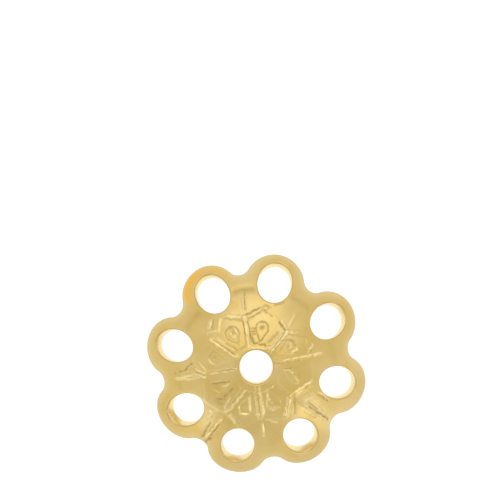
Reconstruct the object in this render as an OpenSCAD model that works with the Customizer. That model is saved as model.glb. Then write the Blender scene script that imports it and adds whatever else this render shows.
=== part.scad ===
// A bead cap, dome up, resting on the tips of its petals.
// It is one piece: a flower-shaped blank of thin brass sheet, pierced with a hole in each
// petal and one in the middle, struck with a pattern and pressed into a shallow dome. The
// pattern is a star of raised straps with a sunk teardrop in each of its panels.
// All sizes are in millimetres. The Z axis runs through the middle hole, and one petal
// points along X.

/* [Cap] */
// Width over the tips of opposite petals, on the outer face
cap_w = 8; // [7.6:0.1:9]
// Radius of the dome's outer face
dome_r = 7; // [6:0.1:9]
// Thickness of the brass sheet
sheet_t = 0.32; // [0.2:0.02:0.5]
// Width of the middle hole
eye_w = 1.16; // [0.8:0.02:1.4]

/* [Petals] */
// Number of petals
petals = 8; // [7:1:9]
// Radius of a petal's round end
petal_r = 1.05; // [1:0.01:1.12]
// Radius of the rounded notch between two petals
notch_r = 0.42; // [0.34:0.02:0.5]

/* [Petal holes] */
// Width of a petal hole, across the petal
hole_w = 1.18; // [0.8:0.02:1.3]
// Length of a petal hole, along the petal
hole_l = 1.46; // [1.34:0.02:1.54]
// Width of sheet left between a petal hole and the petal's tip
land_w = 0.46; // [0.36:0.02:0.5]

/* [Struck pattern] */
// Height that the straps stand above the sheet
relief_h = 0.06; // [0.03:0.01:0.12]
// Depth that the teardrops are sunk into the sheet
sunk_h = 0.04; // [0.02:0.01:0.08]
// Width of the straps that frame the panels
strap_w = 0.18; // [0.12:0.01:0.24]
// Distance from the axis to the foot of a panel
foot_at = 0.84; // [0.78:0.01:0.9]
// Distance from the axis to the corners, where the gables start
corner_at = 1.78; // [1.75:0.01:1.95]
// Distance from the axis to the peaks of the gables
peak_at = 2.1; // [2.05:0.01:2.2]
// Distance from the axis to the outer end of the vein that runs into a notch
vein_out = 2.95; // [2.3:0.05:3.1]
// Width of a vein at its outer end
vein_w = 0.22; // [0.12:0.01:0.3]
// Distance from the axis to the point of a teardrop
drop_in = 0.95; // [0.93:0.01:1.05]
// Distance from the axis to the round end of a teardrop
drop_out = 1.64; // [1.5:0.02:1.7]
// Width of a teardrop
drop_w = 0.42; // [0.38:0.02:0.54]

/* [Hidden] */
$fn = 96;
// Angle from one petal to the next
pitch_a = 360 / petals;
// How far each cutter runs past the metal that it cuts
over = 0.5;
// How far a notch bites into the petals' round ends: a hair, so that their surfaces cross
bite = 0.001;
// Angles at the dome's centre, from the axis or from a petal's own line
tip_a = asin(cap_w / 2 / dome_r);
petal_a = asin(petal_r / dome_r);
lobe_a = tip_a - petal_a;
notch_a = asin(notch_r / dome_r);
hole_a = tip_a - (land_w + hole_l / 2) / dome_r * 180 / PI;
bite_a = asin(bite / dome_r);
// A notch runs smoothly into the round ends of both its petals: its centre lies on the line
// between them, as far from each as the two radii together, less the bite
lobe_on_notch_line = [cos(lobe_a), sin(lobe_a) * cos(pitch_a / 2)];
notch_at_a = atan2(lobe_on_notch_line[1], lobe_on_notch_line[0])
    + acos(cos(petal_a + notch_a - bite_a) / norm(lobe_on_notch_line));
// Height of the dome's centre over the surface that the petal tips rest on
centre_z = -(dome_r - sheet_t) * cos(tip_a);
// Inner and outer reach of the cutters, from the dome's centre
cut_in = dome_r - sheet_t - over;
cut_out = dome_r + relief_h + over;

// Places its children once for each petal
module each_petal(turn = 0) {
    for (k = [0 : petals - 1])
        rotate([0, 0, turn + k * pitch_a]) children();
}

// Turns its children, which stand on the dome's axis, down to an angle from it
module lean(a) {
    rotate([0, a, 0]) children();
}

// A cutter of half-angle a that opens from the dome's centre, so that the edges it leaves
// stand square to the sheet
module cone_cutter(a) {
    translate([0, 0, cut_in])
        cylinder(h = cut_out - cut_in, r1 = cut_in * tan(a), r2 = cut_out * tan(a));
}

// A star-shaped pyramid from the dome's centre: its corners are the middles of the petals'
// round ends and of the notches, so it fills the sheet between them
module web_cutter() {
    star = [for (k = [0 : petals - 1], at = [[lobe_a, 0], [notch_at_a, pitch_a / 2]])
        cut_out * [tan(at[0]) * cos(k * pitch_a + at[1]), tan(at[0]) * sin(k * pitch_a + at[1]), 1]];
    n = len(star);
    polyhedron(
        points = concat([[0, 0, 0]], star),
        faces = concat([[for (i = [n : -1 : 1]) i]], [for (i = [0 : n - 1]) [0, i + 1, (i + 1) % n + 1]])
    );
}

// The flower outline of the blank, as a solid that opens from the dome's centre
module flower_cutter() {
    difference() {
        union() {
            web_cutter();
            each_petal() lean(lobe_a) cone_cutter(petal_a);
        }
        each_petal(pitch_a / 2) lean(notch_at_a) cone_cutter(notch_a);
    }
}

// One petal hole: two bores on the petal's line, and the straight cut between them
module petal_hole() {
    half_gap = (hole_l - hole_w) / 2;
    lean(hole_a) translate([0, 0, cut_in]) linear_extrude(cut_out - cut_in) {
        for (side = [-1, 1]) translate([side * half_gap, 0]) circle(d = hole_w);
        square([2 * half_gap, hole_w], center = true);
    }
}

// The point where the line through p at angle a meets the line through q at angle b
function meet(p, a, q, b) =
    let (u = [cos(a), sin(a)], v = [cos(b), sin(b)])
    p + u * cross(q - p, v) / cross(u, v);

// A teardrop in plan, its point towards the axis
module teardrop(point_x, end_x, w) {
    r = w / 2;
    middle_x = end_x - r;
    flank_a = asin(r / (middle_x - point_x));
    touch = [middle_x - r * sin(flank_a), r * cos(flank_a)];
    translate([middle_x, 0]) circle(r = r);
    polygon([[point_x, 0], [touch[0], -touch[1]], [middle_x, 0], touch]);
}

// The straps in plan: a star whose points are the gables, with a house-shaped panel sunk in
// each cell, and a vein that widens from each corner towards its notch
module strapwork() {
    half = pitch_a / 2;
    corner = corner_at * [cos(half), sin(half)];
    gable_a = atan2(corner[1], corner[0] - peak_at);
    across_gable = strap_w / 2 * [sin(gable_a), -cos(gable_a)];
    gable_out = [peak_at, 0] + across_gable;
    gable_in = [peak_at, 0] - across_gable;
    spoke_side = strap_w / 2 * [sin(half), -cos(half)];
    tip = meet([0, 0], 0, gable_out, gable_a);
    valley = meet([0, 0], half, gable_out, gable_a);
    ridge = meet([0, 0], 0, gable_in, gable_a);
    eave = meet(spoke_side, half, gable_in, gable_a);
    foot = meet(spoke_side, half, [foot_at, 0], 90);
    difference() {
        union() {
            each_petal() polygon([[0, 0], [valley[0], -valley[1]], tip, valley]);
            each_petal(half) polygon([
                [corner_at, 0], [vein_out, -vein_w / 2], [vein_out, vein_w / 2]
            ]);
        }
        each_petal() polygon([foot, [foot[0], -foot[1]], [eave[0], -eave[1]], ridge, eave]);
    }
}

// The straps, raised over the dome's outer face and rooted in the sheet
module relief() {
    intersection() {
        difference() {
            sphere(r = dome_r + relief_h);
            sphere(r = dome_r - sheet_t / 2);
        }
        linear_extrude(cut_out) strapwork();
    }
}

// A cutter that sinks a teardrop into the dome's outer face
module teardrop_cutter() {
    difference() {
        linear_extrude(cut_out) teardrop(drop_in, drop_out, drop_w);
        sphere(r = dome_r - sunk_h);
    }
}

// The sheet, cut to the flower outline
module domed_blank() {
    intersection() {
        difference() {
            sphere(r = dome_r);
            sphere(r = dome_r - sheet_t);
        }
        flower_cutter();
    }
}

module bead_cap() {
    color([0.8, 0.7, 0.42]) translate([0, 0, centre_z]) difference() {
        union() {
            domed_blank();
            relief();
        }
        cylinder(h = cut_out, d = eye_w);
        each_petal() {
            petal_hole();
            teardrop_cutter();
        }
    }
}

bead_cap();
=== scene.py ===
"""A bead cap of gold-plated brass, lying dome up on a light table in soft studio light."""

import bmesh
import bpy
import numpy as np
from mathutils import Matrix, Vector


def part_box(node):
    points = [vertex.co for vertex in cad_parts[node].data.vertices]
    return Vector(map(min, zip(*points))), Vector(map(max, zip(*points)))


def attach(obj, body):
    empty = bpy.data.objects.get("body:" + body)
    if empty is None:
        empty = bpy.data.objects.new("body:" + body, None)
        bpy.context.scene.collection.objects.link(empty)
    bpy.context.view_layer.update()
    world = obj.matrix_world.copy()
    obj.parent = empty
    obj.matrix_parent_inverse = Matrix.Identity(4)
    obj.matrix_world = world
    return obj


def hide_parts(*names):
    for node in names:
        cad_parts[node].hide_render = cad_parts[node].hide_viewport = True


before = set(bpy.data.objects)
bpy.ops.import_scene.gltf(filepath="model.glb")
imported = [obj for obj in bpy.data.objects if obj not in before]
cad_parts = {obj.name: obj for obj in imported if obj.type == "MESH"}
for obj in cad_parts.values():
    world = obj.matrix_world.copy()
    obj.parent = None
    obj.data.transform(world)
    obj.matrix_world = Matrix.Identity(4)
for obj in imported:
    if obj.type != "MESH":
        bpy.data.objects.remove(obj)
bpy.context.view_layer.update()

# The bead cap
# A small finding that sits on the end of a bead. It is one piece of thin brass sheet: a
# flower-shaped blank is pierced, struck with a pattern of straps and teardrops, pressed into
# a shallow dome and plated with pale gold. It lies on the tips of its eight petals.

# A millimetre, in the scene's metres
MM = 0.001

# The blank and its dome, in millimetres. The width over the petals' tips comes from the packed
# model. The eye is the middle hole, and the land is the sheet between a petal's hole and its
# tip.
CAP_WIDTH = (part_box("bead_cap")[1][0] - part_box("bead_cap")[0][0]) / MM
DOME_R = 7.0
SHEET = 0.32
EYE_R = 0.58
PETALS = 8
PETAL_R = 1.05
NOTCH_R = 0.42
HOLE_HALF_LENGTH = 0.73
HOLE_HALF_WIDTH = 0.59
LAND = 0.46

# Half the turn from one petal to the next, seen from above
HALF = np.pi / PETALS
# Angles at the dome's centre: from the axis to a tip, across the radius of a petal's round end,
# from the axis to the middle of that end, across the radius of a notch, and from the axis to
# the middle of a petal's hole
TIP_A = np.arcsin(CAP_WIDTH / 2 / DOME_R)
PETAL_A = np.arcsin(PETAL_R / DOME_R)
LOBE_A = TIP_A - PETAL_A
NOTCH_A = np.arcsin(NOTCH_R / DOME_R)
HOLE_A = TIP_A - (LAND + HOLE_HALF_LENGTH) / DOME_R
# Height of the dome's centre over the surface that the tips rest on
CENTRE_Z = -(DOME_R - SHEET) * np.cos(TIP_A)


def station(polar, turn=0.0):
    """A place on the dome: the unit vector to it from the dome's centre, and the two unit
    vectors that lie along the sheet there, outward from the axis and round it."""
    s, c = np.sin(polar), np.cos(polar)
    st, ct = np.sin(turn), np.cos(turn)
    up = np.array([s * ct, s * st, c])
    outward = np.array([c * ct, c * st, -s])
    around = np.array([-st, ct, 0.0])
    return up, outward, around


def plan_of(place, ahead, aside):
    """Plan points of marks made on the sheet: ahead and aside are measured straight across
    from the place, and the length left over goes along the place's own unit vector."""
    up, outward, around = place
    u, v = np.asarray(ahead)[..., None] / DOME_R, np.asarray(aside)[..., None] / DOME_R
    unit = u * outward + v * around + np.sqrt(1 - u**2 - v**2) * up
    return unit[..., :2] * DOME_R


def notch_place():
    """The middle of a notch lies on the line between two petals, as far from each petal's
    middle as both radii together: cosine rule on the dome, solved for the polar angle."""
    x, y = np.cos(LOBE_A), np.sin(LOBE_A) * np.cos(HALF)
    polar = np.arctan2(y, x) + np.arccos(np.cos(PETAL_A + NOTCH_A) / np.hypot(x, y))
    return station(polar, HALF)


LOBE = station(LOBE_A)
HOLE = station(HOLE_A)
NOTCH = notch_place()
# Where the round end of the petal meets the notch: its angle seen from either middle
TOUCH_ON_LOBE = np.arctan2(NOTCH[0] @ LOBE[2], NOTCH[0] @ LOBE[1])
TOUCH_ON_NOTCH = np.arctan2(-(LOBE[0] @ NOTCH[2]), -(LOBE[0] @ NOTCH[1]))

# A cut edge: the punch draws the outer edge down into a round shoulder, and the inner edge
# stays crisper
OUTER_ROUND = 0.06
INNER_ROUND = 0.03
# Its section, ring by ring: how far each ring lies back from the cut, and how far it lies below
# the outer face. The shoulder is a quarter circle, the wall is straight, and the inner edge is a
# smaller quarter circle.
SHOULDER_ANGLES = np.linspace(0, np.pi / 2, 5)
EDGE_INSET = np.concatenate([
    OUTER_ROUND * (1 - np.sin(SHOULDER_ANGLES)),
    INNER_ROUND * (1 - np.cos(SHOULDER_ANGLES[:-1])),
    [INNER_ROUND],
])
EDGE_DROP = np.concatenate([
    OUTER_ROUND * (1 - np.cos(SHOULDER_ANGLES)),
    SHEET - INNER_ROUND * (1 - np.sin(SHOULDER_ANGLES[:-1])),
    [SHEET],
])

# How finely the sheet is divided: columns across half a cell, of which the plain underside
# takes only every fifth, and rows from the middle hole outward, then out along the spoke's line
# to the notch, round the notch, and round the petal's end to the tip
CELL_COLUMNS = 30
UNDER_STEP = 5
PANEL_ROWS = 66
SPOKE_ROWS = 20
NOTCH_ROWS = 14
TIP_ROWS = 24
# The distance from the axis at which the rows begin to sweep round the petal's hole
SWEEP_START = 2.3
SPOKE_LINE = np.array([np.cos(HALF), np.sin(HALF)])


def loft(start, end, rows):
    """Even rows between two rows of points, without the last."""
    u = np.linspace(0, 1, rows + 1)[:-1, None, None]
    return start + u * (end - start)


def eye_row(inset):
    """The edge of the middle hole across half a cell, widened by the inset."""
    turn = np.linspace(HALF, 0, CELL_COLUMNS + 1)
    return (EYE_R + inset) * np.column_stack([np.cos(turn), np.sin(turn)])


def outline(inset):
    """The flower outline from the bottom of a notch to the tip of a petal, drawn in by the
    inset: an arc about the notch's middle, then an arc about the petal's middle."""
    u = np.linspace(0, TOUCH_ON_NOTCH, NOTCH_ROWS + 1)[:-1]
    r = NOTCH_R + inset
    fillet = plan_of(NOTCH, -r * np.cos(u), -r * np.sin(u))
    t = np.linspace(TOUCH_ON_LOBE, 0, TIP_ROWS + 1)
    r = PETAL_R - inset
    return np.vstack([fillet, plan_of(LOBE, r * np.cos(t), r * np.sin(t))])


def outer_line(inset):
    """The outer ends of the rows that sweep round the petal's hole: out along the spoke's
    line to the notch, then along the outline to the tip."""
    edge = outline(inset)
    start = SWEEP_START * SPOKE_LINE
    s = np.linspace(0, 1, SPOKE_ROWS + 1)[:-1, None]
    return np.vstack([start + s * (edge[0] - start), edge])


def hole_line(inset):
    """The edge of the petal's hole, an oval widened by the inset, at the places nearest the
    outer ends of the rows: from its end by the middle hole round to its end by the tip."""
    to_row = outer_line(OUTER_ROUND) - plan_of(HOLE, 0, 0)
    seen = np.arctan2(to_row[:, 1] / HOLE_HALF_WIDTH, -to_row[:, 0] / HOLE_HALF_LENGTH)
    v = (seen - seen[0]) * np.pi / (seen[-1] - seen[0])
    a, b = HOLE_HALF_LENGTH + inset, HOLE_HALF_WIDTH + inset
    return plan_of(HOLE, -a * np.cos(v), b * np.sin(v))


def half_cell(outer_inset, inner_inset):
    """Plan points of half a cell on a grid. Column 0 runs out along the spoke's line and
    round the outline to the tip; the last column runs out along the petal's axis and round
    its hole. Each row from the spoke's line to the petal's hole is divided evenly."""
    outer, hole = outer_line(outer_inset)[:, None], hole_line(inner_inset)[:, None]
    sweep = outer + np.linspace(0, 1, CELL_COLUMNS + 1)[:, None] * (hole - outer)
    return np.concatenate([loft(eye_row(inner_inset), sweep[0], PANEL_ROWS), sweep])


class Shell:
    """Collects grids of plan points with their drop below the outer face, and their faces."""

    def __init__(self):
        self.points, self.drops, self.faces, self.count = [], [], [], 0

    def add_grid(self, plan, drop, flip):
        """Adds a grid of points and the quads between them; flip turns the quads over."""
        rows, columns = plan.shape[:2]
        number = self.add_points(plan, drop).reshape(rows, columns)
        quads = np.stack([number[:-1, :-1], number[:-1, 1:], number[1:, 1:], number[1:, :-1]], -1)
        quads = quads.reshape(-1, 4)
        self.faces.append(quads[:, ::-1] if flip else quads)

    def add_points(self, plan, drop):
        """Adds points and gives back their numbers."""
        flat = plan.reshape(-1, 2)
        self.points.append(flat)
        self.drops.append(np.broadcast_to(drop, plan.shape[:-1]).reshape(-1))
        self.count += len(flat)
        return np.arange(self.count - len(flat), self.count)


# Half a cell: the outer face, the underside, and the walls of the outline and of the petal's
# hole
shell = Shell()
top = half_cell(OUTER_ROUND, OUTER_ROUND)
under = half_cell(INNER_ROUND, INNER_ROUND)[:, ::UNDER_STEP]
shell.add_grid(top, 0.0, flip=False)
shell.add_grid(under, SHEET, flip=True)
edge_drop = EDGE_DROP[:, None]
shell.add_grid(np.array([outline(e) for e in EDGE_INSET]), edge_drop, flip=False)
shell.add_grid(np.array([hole_line(e) for e in EDGE_INSET]), edge_drop, flip=True)
# The wall of the middle hole ends on the coarser underside, so its last ring is joined to the
# one before it by faces with UNDER_STEP + 1 corners above and two below
eye_rings = np.array([eye_row(e) for e in EDGE_INSET])
shell.add_grid(eye_rings[:-1], edge_drop[:-1], flip=True)
upper = shell.add_points(eye_rings[-2], EDGE_DROP[-2])
lower = shell.add_points(eye_rings[-1, ::UNDER_STEP], EDGE_DROP[-1])
first = np.arange(0, len(upper) - 1, UNDER_STEP)
shell.faces.append(np.column_stack(
    [lower[:-1]] + [lower[1:]] + [upper[first + k] for k in range(UNDER_STEP, -1, -1)]
))
half_plan = np.concatenate(shell.points)
half_drop = np.concatenate(shell.drops)

# The other half of the cell is the mirror image, and the cell is repeated once for each petal
cells, cell_faces = [], []
for k in range(PETALS):
    turn = 2 * HALF * k
    spin = np.array([[np.cos(turn), np.sin(turn)], [-np.sin(turn), np.cos(turn)]])
    for side, points in enumerate((half_plan, half_plan * [1, -1])):
        start = (2 * k + side) * len(half_plan)
        cells.append(points @ spin)
        cell_faces += [(f[:, ::-1] if side else f) + start for f in shell.faces]
plan = np.concatenate(cells)
drop = np.tile(half_drop, 2 * PETALS)


def named_table(columns, rows):
    """A table of numbers whose columns are read by name. The names are parted by spaces."""
    kinds = [(name, float) for name in columns.split()]
    return np.array(rows, dtype=kinds).view(np.recarray)


def smooth(share):
    """A smooth step from 0 to 1: three times the square less twice the cube."""
    s = np.clip(share, 0, 1)
    return s * s * (3 - 2 * s)


def waves(p, length, seed, count=14):
    """Smooth unevenness over plan points: a sum of plane waves in seeded directions and
    phases, each 0.7 to 1.4 times the given length long. It is divided by the root of 1.2 times
    their number, which keeps it mostly within -1 and 1."""
    rng = np.random.default_rng(seed)
    turn, phase = rng.uniform(0, 2 * np.pi, (2, count))
    pace = 2 * np.pi / (length * rng.uniform(0.7, 1.4, count))
    run = np.array([np.cos(turn), np.sin(turn)]) * pace
    return np.sin(p @ run + phase).sum(1) / np.sqrt(count * 1.2)


def waver(p, mean, swing, length, seed):
    """A share that wavers over plan points: the mean, give or take the swing."""
    return mean + swing * waves(p, length, seed)


def fold(p):
    """Brings plan points into the first half cell: the azimuth is measured from the nearest
    petal's line, without its sign."""
    turn = np.arctan2(p[:, 1], p[:, 0])
    turn = np.abs((turn + HALF) % (2 * HALF) - HALF)
    return np.hypot(*p.T)[:, None] * np.column_stack([np.cos(turn), np.sin(turn)])


def unit_of(plan):
    """The unit vectors from the dome's centre that pass over plan points."""
    return np.column_stack([plan / DOME_R, np.sqrt(1 - (plan**2).sum(1) / DOME_R**2)])


def depth_inside(plan):
    """How far plan points lie inside the outline: the depth inside the petal's circle, or
    outside the notch's circle beside it."""
    unit = unit_of(fold(plan))
    in_lobe = PETAL_R - np.hypot(unit @ LOBE[1], unit @ LOBE[2]) * DOME_R
    off_notch = np.hypot(unit @ NOTCH[1], unit @ NOTCH[2]) * DOME_R - NOTCH_R
    at_end = np.arctan2(unit @ LOBE[2], unit @ LOBE[1]) < TOUCH_ON_LOBE
    return np.where(at_end, in_lobe, off_notch)


# What the tools and the bending made uneven, a row for each petal from +X round, in
# millimetres. The first three columns say how far outward its tip, its hole's inner end and
# its hole's outer end lie, the next two how far onward its hole's sides before and after lie,
# the next how far the lower lip of the hole's outer end stands in, and the last two how far
# outward and onward the notch after it lies.
UNEVEN = named_table("tip hole_in hole_out side_before side_after lip notch_out notch_on", [
    (0.03, -0.02, 0.01, 0.07, 0.05, 0.00, 0.01, -0.03),
    (0.02, 0.03, 0.07, -0.035, -0.025, 0.04, -0.05, -0.02),
    (0.01, 0.015, 0.075, -0.01, 0.02, 0.01, -0.055, 0.04),
    (-0.005, -0.02, 0.03, -0.04, -0.02, 0.00, -0.02, 0.03),
    (0.00, 0.005, 0.035, -0.01, -0.06, 0.035, 0.02, 0.02),
    (0.00, -0.04, 0.025, 0.01, -0.01, 0.10, 0.02, 0.01),
    (-0.01, -0.04, -0.065, -0.015, 0.00, 0.055, 0.027, 0.01),
    (0.02, -0.02, -0.01, 0.00, 0.02, 0.065, 0.027, 0.00),
])
# How far the middle hole lies off the axis, along X and Y
EYE_OFF = (-0.01, 0.03)
# Where these moves die away: round a hole at this many times its own reach, from the outline
# and from the middle hole at so many millimetres
HOLE_CALM = 1.6
OUTLINE_CALM = 0.45
EYE_CALM = 0.3


def made_uneven(plan, drop):
    """Plan points moved by what the tools and the bending made uneven. Round a petal's hole
    the move is full at the hole's edge and dies away across the land; at the outline it dies
    away inward, and between a tip and a notch it runs smoothly from one to the other."""
    turn = np.arctan2(plan[:, 1], plan[:, 0])
    nearest = np.rint(turn / (2 * HALF)).astype(int)
    off_line = turn - 2 * HALF * nearest
    petal = UNEVEN[nearest % PETALS]
    beside = UNEVEN[np.where(off_line < 0, nearest - 1, nearest) % PETALS]

    r = np.hypot(*plan.T)
    unit = unit_of(np.column_stack([r * np.cos(off_line), r * np.sin(off_line)]))
    ahead = unit @ HOLE[1] * DOME_R / HOLE_HALF_LENGTH
    aside = unit @ HOLE[2] * DOME_R / HOLE_HALF_WIDTH
    near_hole = smooth((HOLE_CALM - np.hypot(ahead, aside)) / (HOLE_CALM - 1))
    outer, onward = smooth((ahead + 1) / 2), smooth((aside + 1) / 2)
    near_edge = smooth(1 - depth_inside(plan) / OUTLINE_CALM)
    at_notch = smooth(np.abs(off_line) / HALF)

    lip = petal.lip * outer**2 * drop / SHEET
    out = near_hole * (petal.hole_in + outer * (petal.hole_out - petal.hole_in) - lip)
    out += near_edge * (petal.tip + at_notch * (beside.notch_out - petal.tip))
    on = near_hole * (petal.side_before + onward * (petal.side_after - petal.side_before))
    on += near_edge * at_notch * beside.notch_on
    away = plan / r[:, None]
    near_eye = smooth(1 - (r - EYE_R) / EYE_CALM)
    moved = plan + out[:, None] * away + on[:, None] * away[:, ::-1] * [-1, 1]
    return moved + near_eye[:, None] * EYE_OFF


# A painted orange reflection, a deeper gold: a band round one petal's end, from one turn to
# another, at this depth inside the outline. Its ends fade over so many degrees, and its first
# third has only this share of the strength of its last.
REFLECTION_TURNS = (117.0, 153.0)
REFLECTION_AT = 0.21
REFLECTION_W = 0.13
REFLECTION_FADE = 5.0
REFLECTION_START = 0.4


def near_line(depth, at, width):
    """How near a point lies to a line that runs at a depth inside an edge, 0 to 1: a bell
    curve across the line."""
    return np.exp(-(((depth - at) / width) ** 2))


def painted_orange_reflection(plan, depth):
    """How strong the painted orange reflection is, 0 to 1: a bell curve across its band, which
    fades at its ends and grows from its first third to its last, broken up by waves."""
    turn = np.degrees(np.arctan2(plan[:, 1], plan[:, 0])) % 360
    start, end = REFLECTION_TURNS
    along = smooth((turn - start) / REFLECTION_FADE) * smooth((end - turn) / REFLECTION_FADE)
    grown = smooth((turn - start) / (end - start) * 3 - 1)
    along *= REFLECTION_START + (1 - REFLECTION_START) * grown
    band_strength = along * near_line(depth, REFLECTION_AT, REFLECTION_W)
    return band_strength * np.clip(waver(plan, mean=0.85, swing=0.35, length=0.13, seed=9), 0, 1)


# The struck pattern: how high its straps stand, how wide the slope at their edges is, where
# the collar round the middle hole ends and the panels start, and the widths of a gable's sides
# and of a vein at its start and its end
RELIEF = 0.06
SLOPE_W = 0.05
PANEL_FOOT = 0.84
GABLE_W = 0.15
VEIN_START_W = 0.06
VEIN_END_W = 0.18
# The shares of its length over which a vein rises from the sheet and sinks back into it
VEIN_RISE = 0.4
VEIN_FALL = 0.5
# The groove along a spoke: its width, its depth as a share of the relief, and the share of the
# spoke's length over which it runs out
GROOVE_W = 0.03
GROOVE_DEPTH = 0.4
GROOVE_END = 0.1
# The floor of a teardrop and the pit in its round end: their depths as shares of the relief,
# and the radius of the pit
DROP_DEPTH = 0.8
PIT_DEPTH = 0.5
PIT_R = 0.06
# How far the hand-cut lines stray, and in how long a wave
STRAY = 0.012
STRAY_LENGTH = 0.22
# Painted shade lies at the foot of a struck edge and a painted highlight along its crest, in
# lines at this distance from the edge and of this width, and these are their tones at the straps
# and at the teardrops
EDGE_LINE_AT = 0.022
EDGE_LINE_W = 0.024
EDGE_TONE = 0.3
DROP_TONE = 0.5
# The painted highlight round a teardrop, as a share of the painted shade in it
DROP_CREST = 0.6
# The turn of the side of the cap that is painted in shade, where the edges' feet are darker,
# how sharply that side ends, and the share of the painted highlights that it hides there
SHADED_SIDE_TURN = 95.0
SHADED_SIDE_SHARPNESS = 0.9
SHADED_SIDE_HIDES = 0.75
# The height of a stroke as a share of the relief, the width of its bell curve as a share of its
# own width, and the limits between which the force of the strike wavers
STROKE_RELIEF = 0.3
STROKE_BELL = 0.6
FORCE_LIMITS = (0.4, 1.05)

# The die was cut by hand, so no two cells are alike. In the tables a turn is from +X in
# degrees, a column that ends in _at is a distance from the axis in millimetres, widths are in
# millimetres too, and depths are shares of the relief.
# A spoke: its foot, its corner, its width and how deep it is struck, the outer end of the vein
# beyond it and how deep that is, and how sharply the sheet is creased there
SPOKES = named_table("foot_turn corner_turn corner_at width depth vein_turn vein_at vein_depth crease", [
    (29.0, 24.5, 1.95, 0.10, 0.70, 24.5, 2.50, 0.5, 0.2),
    (63.0, 62.5, 1.62, 0.15, 0.60, 66.0, 2.60, 0.1, 0.5),
    (121.0, 116.0, 1.78, 0.18, 0.60, 113.0, 2.80, 0.3, 0.8),
    (163.0, 161.5, 1.85, 0.16, 0.50, 160.0, 2.50, 0.1, 0.4),
    (197.0, 199.0, 1.78, 0.12, 0.60, 201.5, 2.80, 0.8, 0.3),
    (253.0, 250.0, 1.86, 0.14, 0.45, 248.0, 3.10, 0.7, 0.2),
    (286.5, 288.0, 1.72, 0.20, 0.85, 288.0, 2.50, 0.2, 0.1),
    (335.0, 333.0, 1.60, 0.12, 0.30, 336.5, 3.10, 0.6, 0.1),
])
# A cell: the peak of its gable, how deep the gable's sides before and after it are, the point
# and the round end of the teardrop, its width, and how deep it is
CELLS = named_table("peak_turn peak_at before after point_turn point_at end_turn end_at width depth", [
    (355.5, 2.00, 0.50, 0.15, 6.0, 0.98, 356.0, 1.60, 0.38, 0.40),
    (45.0, 2.10, 0.20, 0.40, 47.0, 0.95, 44.0, 1.58, 0.46, 0.35),
    (93.5, 2.08, 0.08, 0.40, 95.0, 0.89, 94.0, 1.61, 0.45, 0.90),
    (138.0, 2.13, 0.25, 0.10, 140.0, 1.02, 138.0, 1.68, 0.50, 0.70),
    (187.0, 2.18, 0.15, 0.35, 176.0, 1.00, 181.0, 1.68, 0.44, 0.50),
    (228.0, 2.10, 0.10, 0.20, 222.0, 1.00, 219.0, 1.66, 0.40, 0.35),
    (268.0, 2.13, 0.40, 0.15, 270.0, 1.00, 267.0, 1.70, 0.42, 0.75),
    (312.5, 2.00, 0.30, 0.70, 309.0, 0.90, 309.0, 1.62, 0.48, 0.65),
])
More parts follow.
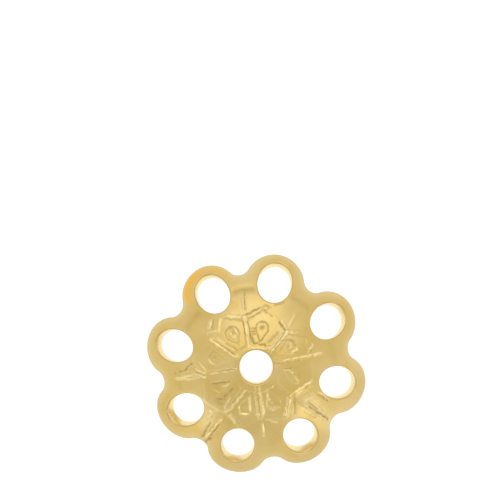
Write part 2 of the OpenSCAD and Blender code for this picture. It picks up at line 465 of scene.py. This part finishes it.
# Strokes that the engraver cut by hand beside the straps and inside the panels: where each
# starts and ends, its width, and its tone, from 1 for raised with a painted highlight to -1 for
# sunk with painted shade. A wide weak one paints a broad patch, bright or dark as its tone says.
STROKES = named_table("start_turn start_at end_turn end_at width tone", [
    # The deepest cell, at the top of the picture, with the straps on both sides of it
    (112, 2.60, 114, 2.00, 0.05, -0.7),
    (115, 2.60, 118, 1.90, 0.12, 0.35),
    (113, 1.85, 101, 2.05, 0.06, -0.9),
    (112, 1.65, 96, 2.00, 0.05, -0.6),
    (96, 2.00, 85, 1.85, 0.04, -0.7),
    (95, 2.20, 89, 2.15, 0.04, -0.6),
    (86, 2.25, 79, 2.45, 0.04, -0.6),
    (119, 1.65, 121, 1.20, 0.05, -0.7),
    (116, 1.65, 123, 0.80, 0.09, 0.5),
    (114, 1.60, 113, 1.15, 0.06, -0.6),
    (113, 1.15, 108, 0.85, 0.06, -0.7),
    (110, 1.35, 105, 1.35, 0.04, -0.9),
    (110, 1.25, 105, 1.25, 0.04, -0.9),
    (110, 1.15, 104, 1.15, 0.04, -0.9),
    (108, 0.85, 80, 0.85, 0.05, -0.8),
    (115, 0.70, 67, 0.80, 0.06, 0.5),
    (75, 1.00, 70, 1.40, 0.12, -0.45),
    (66, 0.85, 66, 1.45, 0.06, 0.7),
    (63, 0.85, 63, 1.55, 0.05, -0.5),
    (60, 0.80, 61, 1.65, 0.06, 0.8),
    (75, 1.75, 65, 1.65, 0.07, -0.9),
    (73, 1.85, 62, 1.65, 0.05, 0.6),
    # The cell after it
    (135, 2.15, 118, 1.80, 0.12, 0.35),
    (136, 2.00, 120, 1.65, 0.04, -0.4),
    (162, 1.85, 165, 0.80, 0.06, 0.6),
    (160, 1.75, 161, 0.90, 0.05, -0.6),
    (157, 1.70, 155, 1.05, 0.06, 0.45),
    (156, 1.35, 151, 0.95, 0.05, -0.5),
    (146, 2.20, 152, 2.05, 0.05, -0.7),
    (148, 2.25, 154, 2.15, 0.06, 0.5),
    (158, 2.05, 152, 1.90, 0.06, 0.6),
    (140, 2.10, 150, 1.80, 0.06, 0.5),
    (133, 1.60, 132, 1.30, 0.05, 0.6),
    (132, 1.30, 139, 1.05, 0.05, 0.6),
    (140, 1.45, 140, 1.30, 0.08, 0.5),
    # The strap to the left of the picture and what runs out from it
    (196, 0.75, 199, 1.30, 0.05, -0.6),
    (199, 0.80, 201, 1.55, 0.05, 0.6),
    (195, 2.10, 200, 1.80, 0.05, 0.9),
    (198, 2.10, 202, 1.80, 0.05, -0.6),
    (200, 2.10, 204, 1.80, 0.05, 0.9),
    (201, 1.75, 201, 2.30, 0.05, 0.7),
    (201, 2.30, 202, 2.85, 0.06, 0.9),
    (204, 2.00, 203, 2.80, 0.05, 0.6),
    (198, 2.85, 196, 2.50, 0.05, -0.8),
    (196, 2.50, 190, 2.25, 0.05, -0.9),
    # The rough cell at the lower left
    (212, 1.60, 214, 1.35, 0.06, 0.5),
    (214, 1.60, 221, 1.05, 0.06, -0.6),
    (223, 1.35, 224, 1.15, 0.06, 0.6),
    (222, 2.20, 230, 2.10, 0.08, 0.5),
    (232, 1.75, 239, 1.55, 0.05, -0.7),
    (235, 1.80, 240, 1.75, 0.15, -0.3),
    (235, 1.10, 236, 1.50, 0.06, -0.6),
    (237, 2.20, 242, 2.00, 0.05, 0.7),
    (239, 2.60, 240, 2.15, 0.09, 0.5),
    (240, 2.20, 242, 2.70, 0.30, 0.35),
    # The straps and the veins at the bottom of the picture
    (242, 1.40, 245, 1.75, 0.05, 0.7),
    (245, 1.75, 249, 1.90, 0.05, 0.7),
    (253, 1.05, 249, 1.80, 0.04, 0.6),
    (251, 1.10, 248, 1.70, 0.05, -0.4),
    (257, 0.90, 251, 1.75, 0.05, 0.8),
    (249, 1.90, 250, 1.75, 0.05, 0.8),
    (255, 1.90, 262, 2.05, 0.06, 0.9),
    (249, 2.20, 248, 3.10, 0.06, 0.9),
    (244, 2.55, 246, 3.15, 0.06, -0.8),
    (250, 2.40, 250, 3.15, 0.06, -0.8),
    (250, 3.25, 251, 3.05, 0.10, -0.9),
    (270, 1.10, 275, 1.50, 0.06, 0.8),
    (264, 1.70, 271, 1.70, 0.05, 0.8),
    (259, 1.45, 263, 1.70, 0.04, 0.5),
    (307, 0.95, 304, 1.20, 0.05, 0.8),
    (303, 1.45, 312, 1.60, 0.05, 0.5),
    (280, 0.85, 285, 1.65, 0.05, 0.5),
    (284, 0.85, 288, 1.60, 0.06, -0.5),
    (292, 0.70, 292, 1.65, 0.06, 0.9),
    (283, 1.65, 287, 1.60, 0.05, 0.7),
    (289, 2.00, 289, 2.45, 0.05, 0.8),
    (294, 1.85, 303, 2.05, 0.05, 0.7),
    (303, 1.50, 313, 1.60, 0.05, 0.6),
    # The corner at the lower right, with painted highlights round its double vein
    (329, 1.50, 314, 1.95, 0.05, 0.8),
    (332, 1.55, 316, 2.00, 0.05, 0.8),
    (336, 1.65, 322, 2.10, 0.05, -0.5),
    (342, 1.60, 350, 1.75, 0.04, 0.7),
    (340, 1.65, 350, 1.80, 0.04, 0.7),
    (351, 1.80, 359, 2.00, 0.05, 0.6),
    (349, 2.35, 347, 2.80, 0.05, -0.8),
    (351, 2.45, 348, 2.80, 0.05, 0.5),
    (339, 2.15, 338, 2.60, 0.05, -0.8),
    (340, 2.20, 338, 2.95, 0.06, 0.5),
    (336, 2.30, 336, 3.20, 0.06, -0.9),
    (334, 2.35, 335, 3.10, 0.06, 0.6),
    (331, 2.30, 332, 2.75, 0.05, 0.5),
    (341, 2.20, 336, 2.90, 0.45, 0.35),
    # The shallow cells to the right of the picture and the strap between them
    (11, 1.00, 12, 1.35, 0.05, -0.5),
    (9, 1.00, 5, 1.25, 0.05, 0.6),
    (359, 1.40, 355, 1.50, 0.06, 0.7),
    (28, 0.95, 26, 1.70, 0.05, 0.8),
    (26, 1.70, 25, 2.30, 0.05, 1.0),
    (35, 2.10, 28, 1.90, 0.05, 1.0),
    (30, 2.00, 27, 1.90, 0.04, -0.8),
    (63, 1.20, 51, 1.55, 0.05, -0.4),
    (51, 1.55, 41, 1.55, 0.05, -0.4),
    (46, 1.45, 43, 1.40, 0.08, 0.6),
    (36, 1.40, 36, 1.55, 0.06, 0.6),
])


def place_at(turn, distance):
    """Plan points from their turn from +X in degrees and their distance from the axis."""
    turn = np.radians(turn)
    return np.stack([distance * np.cos(turn), distance * np.sin(turn)], -1)


def along_line(p, a, b):
    """How far plan points are off the straight line from a to b, and the share of the line
    at which they come nearest to it: the point is dropped on the line and held on it."""
    run = b - a
    share = np.clip(((p - a) @ run) / (run @ run), 0, 1)
    return np.hypot(*(p - a - share[:, None] * run).T), share


def raised(depth):
    """The height of a struck edge, 0 to 1, from the depth inside its line: a smooth step as
    wide as the slope."""
    return smooth(depth / SLOPE_W + 0.5)


def just_outside(depth):
    """How near a point lies to the line just outside an edge, 0 to 1."""
    return near_line(depth, -EDGE_LINE_AT, EDGE_LINE_W)


def just_inside(depth):
    """How near a point lies to the line just inside an edge, 0 to 1."""
    return near_line(depth, EDGE_LINE_AT, EDGE_LINE_W)


def strapwork(p, turn):
    """The raised bands of the pattern, each as its strength, 0 to 1, and the depth of plan
    points inside its edges: the collar round the middle hole, and for each spoke a straight
    strap and a vein that widens outward, and for each cell the two sides of its gable. Also
    the groove along the spokes, 0 to 1: a bell curve across each, past the collar."""
    petal_turns = np.degrees(2 * HALF) * np.arange(PETALS)
    collar = PANEL_FOOT - np.max(p @ place_at(petal_turns, 1).T, axis=1)
    bands = [(np.interp(turn, petal_turns, CELLS.depth**2, period=360), collar)]
    groove = np.zeros(len(p))
    corners = place_at(SPOKES.corner_turn, SPOKES.corner_at)
    for spoke, corner in zip(SPOKES, corners):
        foot = place_at(spoke.foot_turn, PANEL_FOOT - spoke.width)
        off, share = along_line(p, foot, corner)
        bands.append((spoke.depth, spoke.width / 2 - off))
        groove += spoke.depth * near_line(off, 0, GROOVE_W) * smooth((1 - share) / GROOVE_END)
        off, share = along_line(p, corner, place_at(spoke.vein_turn, spoke.vein_at))
        half_width = (VEIN_START_W + share * (VEIN_END_W - VEIN_START_W)) / 2
        fade = smooth(share / VEIN_RISE) * smooth((1 - share) / VEIN_FALL)
        bands.append((spoke.vein_depth * fade, half_width - off))
    for cell, before, after in zip(CELLS, np.roll(corners, 1, axis=0), corners):
        peak = place_at(cell.peak_turn, cell.peak_at)
        bands.append((cell.before, GABLE_W / 2 - along_line(p, before, peak)[0]))
        bands.append((cell.after, GABLE_W / 2 - along_line(p, peak, after)[0]))
    return bands, groove * (np.hypot(*p.T) > PANEL_FOOT)


def teardrop_depth(p, point, end, width):
    """Depth of plan points inside a teardrop, and how far they are off the middle of its
    round end: inside its circle past the place where the straight flanks touch it, and inside
    the flanks elsewhere."""
    length = np.hypot(*(end - point))
    ahead = (end - point) / length
    x = (p - point) @ ahead
    y = np.abs((p - point) @ [-ahead[1], ahead[0]])
    run = length - width / 2
    flank = np.arcsin(width / 2 / run)
    inside_flank = x * np.sin(flank) - y * np.cos(flank)
    off_middle = np.hypot(x - run, y)
    past_flank = x * np.cos(flank) + y * np.sin(flank) > run * np.cos(flank)
    return np.where(past_flank, width / 2 - off_middle, inside_flank), off_middle


def strike(plan):
    """The height that the die raises the sheet by, as a share of the relief, how much painted
    shade lies there, and how much painted highlight. Of the raised bands the highest counts
    at each point, each struck to its own depth. The spokes are grooved and the teardrops sunk.
    Painted shade lies at the foot of the edges on one side of the cap, and the crests on the
    other side have painted highlights. The strokes come on top, each a bell curve across its
    line, raised with a painted highlight or sunk with painted shade."""
    stray = [waves(plan, STRAY_LENGTH, seed) for seed in (3, 4)]
    p = plan + STRAY * np.column_stack(stray)
    turn = np.degrees(np.arctan2(p[:, 1], p[:, 0])) % 360
    bands, groove = strapwork(p, turn)
    height = np.max([strength * raised(depth) for strength, depth in bands], axis=0)
    painted_shade = np.max([strength * just_outside(depth) for strength, depth in bands], axis=0)
    painted_highlight = np.max([strength * just_inside(depth) for strength, depth in bands], axis=0)
    painted_shade *= EDGE_TONE * (1 - height)
    painted_highlight *= EDGE_TONE
    height -= GROOVE_DEPTH * groove
    for cell in CELLS:
        point = place_at(cell.point_turn, cell.point_at)
        end = place_at(cell.end_turn, cell.end_at)
        depth, off_middle = teardrop_depth(p, point, end, cell.width)
        pit = near_line(off_middle, 0, PIT_R)
        height -= cell.depth * (DROP_DEPTH * raised(depth) + PIT_DEPTH * pit)
        # A teardrop is sunk, so its foot is inside its edge and its crest outside. Painted shade lies
        # at its foot and in its pit, and a painted highlight on its crest.
        tone = DROP_TONE * cell.depth
        painted_shade = np.maximum(painted_shade, tone * np.maximum(just_inside(depth), pit))
        painted_highlight = np.maximum(painted_highlight, DROP_CREST * tone * just_outside(depth))
    # The painted shade lies on one side of the cap, and the painted highlights mostly on the other
    shaded_side = smooth(0.5 + SHADED_SIDE_SHARPNESS * np.cos(np.radians(turn - SHADED_SIDE_TURN)))
    painted_shade *= shaded_side
    painted_highlight *= 1 - SHADED_SIDE_HIDES * shaded_side
    for stroke in STROKES:
        start = place_at(stroke.start_turn, stroke.start_at)
        end = place_at(stroke.end_turn, stroke.end_at)
        off = along_line(p, start, end)[0]
        mark = stroke.tone * near_line(off, 0, STROKE_BELL * stroke.width)
        height += STROKE_RELIEF * mark
        painted_shade = np.maximum(painted_shade, -mark)
        painted_highlight = np.maximum(painted_highlight, mark)
    force = np.clip(waver(plan, mean=0.86, swing=0.18, length=0.5, seed=5), *FORCE_LIMITS)
    broken = smooth(waver(plan, mean=0.85, swing=0.45, length=0.16, seed=6))
    return force * height, broken * painted_shade, broken * painted_highlight


# The creases where the petals bend down: their distance from the axis, their depth and width,
# how far they reach to each side of a spoke's line, over what length they run out there, and
# how dark the shade painted in them is
CREASE_AT = 2.74
CREASE_DEPTH = 0.02
CREASE_W = 0.12
CREASE_REACH = 0.5
CREASE_FADE = 0.2
CREASE_SHADE_TONE = 0.5
SPOKE_ACROSS = np.array([np.sin(HALF), -np.cos(HALF)])


def crease_share(plan):
    """How deep plan points lie in the crease where the petals bend down, 0 to 1: a bell curve
    across the crease, as sharp as the spoke's own, which ends short of the petals' holes."""
    turn = np.degrees(np.arctan2(plan[:, 1], plan[:, 0]))
    spoke_turns = np.degrees(HALF) * (2 * np.arange(PETALS) + 1)
    sharp = np.interp(turn, spoke_turns, SPOKES.crease, period=360)
    off_spoke = np.abs(fold(plan) @ SPOKE_ACROSS)
    across = np.exp(-(((np.hypot(*plan.T) - CREASE_AT) / CREASE_W) ** 2))
    return sharp * across * smooth((CREASE_REACH - off_spoke) / CREASE_FADE)


# How wide the band along the outline is that is painted paler, a painted highlight on its rounded edge
RIM_HIGHLIGHT_W = 0.35
# How far the sheet sways in and out of its dome, in how long a wave, at what distance from the
# axis that ends, and over what length it dies away before
SWAY = 0.012
SWAY_LENGTH = 1.7
SWAY_END = 3.9
SWAY_FADE = 0.8
# The share of the sheet's thickness over which the wall of a cut goes from drawn to torn
TEAR_START = 0.3
# The line of painted shade on a cut's round shoulder: its tone, and how many times faster than
# over the whole shoulder it comes in and goes out
LIP_SHADE_TONE = 0.35
LIP_IN = 5
LIP_OUT = 2
# Points nearer to each other than this, in metres, are one
WELD = 1e-8

depth = depth_inside(plan)
# A painted highlight along the outline, palest at the edge
rim_highlight = smooth(1 - depth / RIM_HIGHLIGHT_W)
# A painted orange reflection in a band on one petal
orange_reflection = painted_orange_reflection(plan, depth)
plan = made_uneven(plan, drop)
crease = crease_share(plan)
struck, painted_shade, painted_highlight = strike(plan)
height = RELIEF * struck - CREASE_DEPTH * crease
sway = SWAY * waves(plan, SWAY_LENGTH, seed=8)
sway *= smooth((SWAY_END - np.hypot(*plan.T)) / SWAY_FADE)
# The cut: the deeper into the wall, the more the punch has torn the sheet and the thinner the
# plating lies on it
torn = smooth(drop / SHEET / TEAR_START) * smooth((SHEET - drop) / INNER_ROUND)
# A line of painted shade along each cut's round shoulder
lip = smooth(drop / OUTER_ROUND * LIP_IN) * smooth((OUTER_ROUND - drop) / OUTER_ROUND * LIP_OUT)
# Painted shade: the dark lines of the struck edges and strokes, the creases, and a line on each cut's
# shoulder
painted_shade = np.max([painted_shade, CREASE_SHADE_TONE * crease, LIP_SHADE_TONE * lip], axis=0)

# Up to the dome: each plan point goes along its own unit vector from the dome's centre, as
# far as the outer face less its drop, and the relief dies away through the sheet
reach = DOME_R - drop + height * (1 - drop / SHEET) + sway
points = (unit_of(plan) * reach[:, None] + [0, 0, CENTRE_Z]) * MM

mesh = bpy.data.meshes.new("bead_cap_gold")
mesh.from_pydata(points, [], [face for block in cell_faces for face in block.tolist()])
for name, values in (
    ("rim_highlight", rim_highlight), ("orange_reflection", orange_reflection), ("painted_shade", painted_shade), ("painted_highlight", painted_highlight), ("torn", torn)
):
    mesh.attributes.new(name, "FLOAT", "POINT").data.foreach_set("value", values)
weld = bmesh.new()
weld.from_mesh(mesh)
bmesh.ops.remove_doubles(weld, verts=weld.verts, dist=WELD)
weld.to_mesh(mesh)
weld.free()
mesh.polygons.foreach_set("use_smooth", np.ones(len(mesh.polygons), bool))
cap = bpy.data.objects.new("bead_cap_gold", mesh)
bpy.context.scene.collection.objects.link(cap)


def linear(hex_colour):
    """A colour from its sRGB hex value to the linear values that a shader takes."""
    c = np.array([int(hex_colour[i : i + 2], 16) for i in (1, 3, 5)]) / 255
    c = np.where(c <= 0.04045, c / 12.92, ((c + 0.055) / 1.055) ** 2.4)
    return (*c, 1.0)


def add_node(tree, kind, settings=None, inputs=None, links=None):
    """Adds a node with its settings, its input values, and the sockets that feed it."""
    node = tree.nodes.new(kind)
    for name, value in (settings or {}).items():
        setattr(node, name, value)
    for name, value in (inputs or {}).items():
        node.inputs[name].default_value = value
    for name, socket in (links or {}).items():
        tree.links.new(socket, node.inputs[name])
    return node


def per(size):
    """A pattern's scale, in repeats per metre, from its real size in millimetres."""
    return 1 / (size * MM)


# Stamped brass with a pale gold plating: a satin metal whose colour runs softly between two
# straw golds, with pale torn walls, and with painted highlights, painted shade and a painted
# orange reflection laid over it
gold = bpy.data.materials.new("gold_plated_brass")
gold.use_nodes = True
tree = gold.node_tree
tree.nodes.clear()
place = add_node(tree, "ShaderNodeTexCoord").outputs["Object"]

# The plating's own colour, in clouds about a millimetre across
CLOUD = 1.1
cloud = add_node(tree, "ShaderNodeTexNoise", inputs={
    "Scale": per(CLOUD), "Detail": 2.0, "Roughness": 0.5,
}, links={"Vector": place})
tone = add_node(tree, "ShaderNodeValToRGB", links={"Fac": cloud.outputs["Fac"]})
tone.color_ramp.elements[0].position = 0.35
tone.color_ramp.elements[0].color = linear("#D6B86C")
tone.color_ramp.elements[1].position = 0.65
tone.color_ramp.elements[1].color = linear("#DDC27F")

# What lies over it, in this order: the attribute that says where, the share at which it covers
# and its colour. The rim has a pale painted highlight, one band is a painted orange reflection in
# a deeper gold, the torn walls are pale, the crests have painted highlights, and the edges' feet,
# the dark strokes, the creases and the cuts' shoulders have dull painted shade.
OVERLAYS = (
    ("rim_highlight", 0.55, "#E6D3A0"),
    ("orange_reflection", 1.0, "#F3B73A"),
    ("torn", 1.0, "#F5E5B4"),
    ("painted_highlight", 0.95, "#FDE8B0"),
    ("painted_shade", 0.85, "#8F7237"),
)
# The sockets of a Mix node of colours: its share, its two colours, and its result
MIX_SHARE, MIX_FROM, MIX_TO, MIX_RESULT = 0, 6, 7, 2
colour = tone.outputs["Color"]
for name, cover, hex_colour in OVERLAYS:
    where = add_node(tree, "ShaderNodeAttribute", {"attribute_name": name})
    share = add_node(tree, "ShaderNodeMath", {"operation": "MULTIPLY", "use_clamp": True}, {
        1: cover,
    }, {0: where.outputs["Fac"]})
    over = add_node(tree, "ShaderNodeMix", {"data_type": "RGBA"}, {
        MIX_TO: linear(hex_colour),
    }, {MIX_SHARE: share.outputs[0], MIX_FROM: colour})
    colour = over.outputs[MIX_RESULT]

# The satin: a soft grain less a few hair scratches. Their noise is stretched fourteen times
# along Y and turned off its own axes, and only its peaks count. The real grain and scratches
# are finer than a pixel, so both are drawn as coarse as they need to show.
GRAIN = 0.16
GRAIN_HEIGHT = 0.0003
SCRATCH_W = 0.06
grain = add_node(tree, "ShaderNodeTexNoise", inputs={
    "Scale": per(GRAIN), "Detail": 3.0, "Roughness": 0.55,
}, links={"Vector": place})
stretched = add_node(tree, "ShaderNodeMapping", inputs={
    "Rotation": (0, 0, 0.9), "Scale": (1, 0.07, 1),
}, links={"Vector": place})
scratch = add_node(tree, "ShaderNodeTexNoise", inputs={
    "Scale": per(SCRATCH_W), "Detail": 2.0,
}, links={"Vector": stretched.outputs["Vector"]})
hairs = add_node(tree, "ShaderNodeMapRange", inputs={
    "From Min": 0.62, "From Max": 0.75, "To Min": 0.0, "To Max": 0.35,
}, links={"Value": scratch.outputs["Fac"]})
surface = add_node(tree, "ShaderNodeMath", {"operation": "SUBTRACT"}, links={
    0: grain.outputs["Fac"], 1: hairs.outputs["Result"],
})
bump = add_node(tree, "ShaderNodeBump", inputs={
    "Strength": 1.0, "Distance": GRAIN_HEIGHT * MM,
}, links={"Height": surface.outputs[0]})
satin = add_node(tree, "ShaderNodeMapRange", inputs={
    "From Min": 0.3, "From Max": 0.7, "To Min": 0.26, "To Max": 0.31,
}, links={"Value": grain.outputs["Fac"]})
metal = add_node(tree, "ShaderNodeBsdfPrincipled", inputs={"Metallic": 1.0}, links={
    "Base Color": colour,
    "Roughness": satin.outputs["Result"],
    "Normal": bump.outputs["Normal"],
})
add_node(tree, "ShaderNodeOutputMaterial", links={"Surface": metal.outputs["BSDF"]})
mesh.materials.append(gold)

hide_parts("bead_cap")
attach(cap, "root")

# The table
# A light table of opal acrylic, as wide as a small light tent. It glows evenly white and
# reflects little of what falls on it, so the cap casts next to no shadow.
TABLE_HALF = 0.25
SQUARE = ((-1, -1), (1, -1), (1, 1), (-1, 1))
table_mesh = bpy.data.meshes.new("table")
table_mesh.from_pydata([(x * TABLE_HALF, y * TABLE_HALF, 0) for x, y in SQUARE], [], [(0, 1, 2, 3)])
table = bpy.data.objects.new("table", table_mesh)
bpy.context.scene.collection.objects.link(table)
opal = bpy.data.materials.new("opal_acrylic")
opal.use_nodes = True
opal_shader = opal.node_tree.nodes["Principled BSDF"]
opal_shader.inputs["Base Color"].default_value = linear("#5C5C5C")
opal_shader.inputs["Roughness"].default_value = 0.9
opal_shader.inputs["Emission Color"].default_value = linear("#FFFFFF")
opal_shader.inputs["Emission Strength"].default_value = 1.0
table_mesh.materials.append(opal)

# The camera
# It looks straight down, as over a copy stand, and the cap lies below the middle of the
# picture, so that its sides are seen a little unevenly. The cap's width, its middle and its
# turn are read in the picture. The lens and the sensor's width are in millimetres.
PICTURE_PX = 500
CAP_ACROSS_PX = 223
CAP_MIDDLE_PX = (256, 363.4)
CAP_TURN = np.radians(12.9)
LENS = 64.0
SENSOR = 36.0
focal_px = LENS / SENSOR * PICTURE_PX
pixel = CAP_WIDTH * MM / CAP_ACROSS_PX
rim_height = (DOME_R * np.cos(TIP_A) + CENTRE_Z) * MM
picture_right = np.array([np.cos(CAP_TURN), np.sin(CAP_TURN)])
picture_up = np.array([-np.sin(CAP_TURN), np.cos(CAP_TURN)])
camera_at = (PICTURE_PX / 2 - CAP_MIDDLE_PX[0]) * pixel * picture_right
camera_at = camera_at + (CAP_MIDDLE_PX[1] - PICTURE_PX / 2) * pixel * picture_up
camera = bpy.data.objects.new("camera", bpy.data.cameras.new("camera"))
camera.data.lens = LENS
camera.data.sensor_width = SENSOR
camera.data.clip_start = 0.001
camera.data.clip_end = 10
camera.location = (*camera_at, focal_px * pixel + rim_height)
camera.rotation_euler = (0, 0, CAP_TURN)
bpy.context.scene.collection.objects.link(camera)
bpy.context.scene.camera = camera

# The light
# A white light tent, a little darker at its top than at its walls, fading towards the table,
# with a faint shade over the near side. Three softboxes in it shine on the dome.

# How bright the tent is against a white of 1, at its top, at its walls and at the table, what
# share the shade takes away, and how far the shade's middle leans from straight above
TOP = 0.92
WALLS = 1.03
HORIZON = 0.6
SHADE = 0.11
SHADE_LEAN = np.radians(38)
world = bpy.data.worlds.new("light_tent")
world.use_nodes = True
tree = world.node_tree
towards = add_node(tree, "ShaderNodeTexCoord").outputs["Generated"]
rise = add_node(tree, "ShaderNodeSeparateXYZ", links={"Vector": towards}).outputs["Z"]
roof = add_node(tree, "ShaderNodeMapRange", {"interpolation_type": "SMOOTHSTEP"}, {
    "From Min": 0.4, "From Max": 0.75, "To Min": WALLS, "To Max": TOP,
}, {"Value": rise})
foot = add_node(tree, "ShaderNodeMapRange", {"interpolation_type": "SMOOTHSTEP"}, {
    "From Min": 0.0, "From Max": 0.3, "To Min": HORIZON, "To Max": 1.0,
}, {"Value": rise})
beside = add_node(tree, "ShaderNodeVectorMath", {"operation": "DOT_PRODUCT"}, {
    1: (*(-np.sin(SHADE_LEAN) * picture_up), np.cos(SHADE_LEAN)),
}, {0: towards})
shade = add_node(tree, "ShaderNodeMapRange", {"interpolation_type": "SMOOTHSTEP"}, {
    "From Min": 0.7, "From Max": 0.97, "To Min": 1.0, "To Max": 1.0 - SHADE,
}, {"Value": beside.outputs["Value"]})
unshaded = add_node(tree, "ShaderNodeMath", {"operation": "MULTIPLY"}, links={
    0: roof.outputs["Result"], 1: foot.outputs["Result"],
})
strength = add_node(tree, "ShaderNodeMath", {"operation": "MULTIPLY"}, links={
    0: unshaded.outputs[0], 1: shade.outputs["Result"],
})
tent = tree.nodes["Background"]
tent.inputs["Color"].default_value = (1, 1, 1, 1)
tree.links.new(strength.outputs[0], tent.inputs["Strength"])
bpy.context.scene.world = world
bpy.context.scene.view_settings.view_transform = "Standard"


def soft_light(name, turn, lean, size, glow):
    """A square light a quarter of a metre from the cap, facing it: turn is its direction seen
    from above, lean its angle from straight above, in degrees, and size its angle across.
    Its power is pi times its area times the glow, its brightness against a white of 1."""
    reach = 0.25
    side = 2 * reach * np.tan(np.radians(size / 2))
    data = bpy.data.lights.new(name, "AREA")
    data.size = side
    data.energy = np.pi * side**2 * glow
    light = bpy.data.objects.new(name, data)
    turn, lean = np.radians(turn), np.radians(lean)
    flat = np.sin(lean)
    light.location = np.array([flat * np.cos(turn), flat * np.sin(turn), np.cos(lean)]) * reach
    light.rotation_euler = (0, lean, turn)
    bpy.context.scene.collection.objects.link(light)


soft_light("far_softbox", turn=97, lean=22, size=36, glow=0.5)
soft_light("right_softbox", turn=325, lean=50, size=16, glow=0.9)
soft_light("left_softbox", turn=240, lean=56, size=20, glow=0.35)
